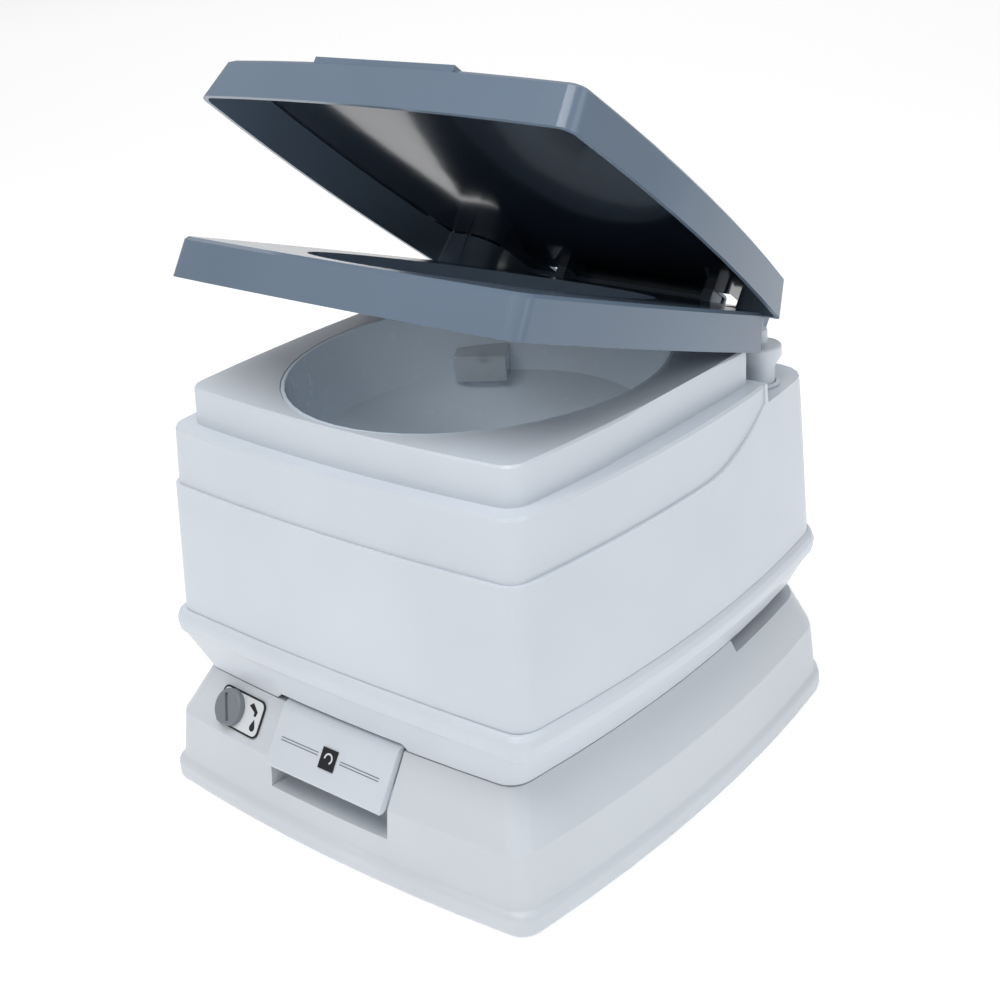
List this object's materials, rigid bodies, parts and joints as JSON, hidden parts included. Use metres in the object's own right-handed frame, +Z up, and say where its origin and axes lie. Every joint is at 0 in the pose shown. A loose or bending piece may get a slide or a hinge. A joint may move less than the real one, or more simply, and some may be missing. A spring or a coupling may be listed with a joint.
{
  "type": "portable camp toilet",
  "caption": "Two-part portable toilet: boxy flush-water tank with an oval bowl, hinged seat and lid, piston pump, over a waste tank with a pull-handle slide valve, vent and pour spout.",
  "frame": {"origin": "on the floor under the middle of the waste tank's foot", "axes": "+Z up, -Y towards the front where the handle is, +X to the right seen from the front"},
  "size_m": [0.3434, 0.3774, 0.4772],
  "materials": {
    "white_gloss": "glossy",
    "white_satin": "satin, faint moulded grain",
    "bowl_white": "glossy",
    "slate_blue": "glossy",
    "mid_grey": "matte",
    "clear_grey": "clear",
    "black_print": "satin print",
    "seal_rubber": "matte",
    "natural_plastic": "satin"
  },
  "bodies": {
    "waste_tank": {"waste_tank": "white_satin", "mouth_gasket": "seal_rubber", "valve_frame": "natural_plastic", "valve_lip_seal": "seal_rubber", "vent_decal": "black_print", "spout_collar": "natural_plastic"},
    "water_tank": {"water_tank": "white_gloss", "water_tank_base": "white_gloss", "bowl": "bowl_white", "flush_deflector": "clear_grey", "flush_tube": "natural_plastic", "pump_collar": "white_gloss", "pump_cylinder": "natural_plastic", "filler_neck": "white_gloss", "hinge_pin_left": "natural_plastic", "hinge_pin_right": "natural_plastic"},
    "seat": {"seat": "slate_blue"},
    "lid": {"lid": "slate_blue"},
    "slide_valve": {"valve_blade": "natural_plastic", "pull_handle": "white_gloss", "handle_badge": "black_print"},
    "pump_plunger": {"pump_knob": "white_gloss", "pump_rod": "natural_plastic", "pump_piston": "natural_plastic", "piston_ring": "seal_rubber"},
    "vent_plug": {"vent_plug": "mid_grey", "vent_seal": "seal_rubber"},
    "filler_cap": {"filler_cap": "white_gloss", "filler_seal": "seal_rubber"},
    "pour_spout": {"pour_spout": "white_satin", "spout_seal": "seal_rubber"},
    "spout_cap": {"spout_cap": "mid_grey", "spout_cap_seal": "seal_rubber"}
  },
  "joints": [
    {"name": "water_tank_lift", "type": "slide", "parent": "waste_tank", "child": "water_tank", "axis": [0, 0, 1], "range_m": [0, 0.15]},
    {"name": "seat_hinge", "type": "hinge", "parent": "water_tank", "child": "seat", "pos_m": [0, 0.138, 0.262], "axis": [-1, 0, 0], "range_deg": [-18, 70]},
    {"name": "lid_hinge", "type": "hinge", "parent": "seat", "child": "lid", "pos_m": [0, 0.138, 0.262], "axis": [-1, 0, 0], "range_deg": [-19.7, 57]},
    {"name": "valve_slide", "type": "slide", "parent": "waste_tank", "child": "slide_valve", "axis": [0, -1, 0], "range_m": [0, 0.1]},
    {"name": "pump_press", "type": "slide", "parent": "water_tank", "child": "pump_plunger", "axis": [0, 0, -1], "range_m": [0, 0.0105], "stiffness_N_per_m": 300, "springref_m": -0.01},
    {"name": "vent_turn", "type": "hinge", "parent": "waste_tank", "child": "vent_plug", "pos_m": [-0.0985, -0.18632, 0.067], "axis": [-0.0578, -0.8476, 0.5275], "range_deg": [0, 90]},
    {"name": "filler_cap_turn", "type": "hinge", "parent": "water_tank", "child": "filler_cap", "pos_m": [-0.128, 0.11, 0.25], "axis": [0, 0, 1], "range_deg": [0, 360]},
    {"name": "spout_swing", "type": "hinge", "parent": "waste_tank", "child": "pour_spout", "pos_m": [-0.095, 0.122, 0.05], "axis": [0, 0, 1], "range_deg": [0, 90]},
    {"name": "spout_cap_turn", "type": "hinge", "parent": "pour_spout", "child": "spout_cap", "pos_m": [0.008, 0.122, 0.07], "axis": [1, 0, 0], "range_deg": [0, 360]}
  ]
}
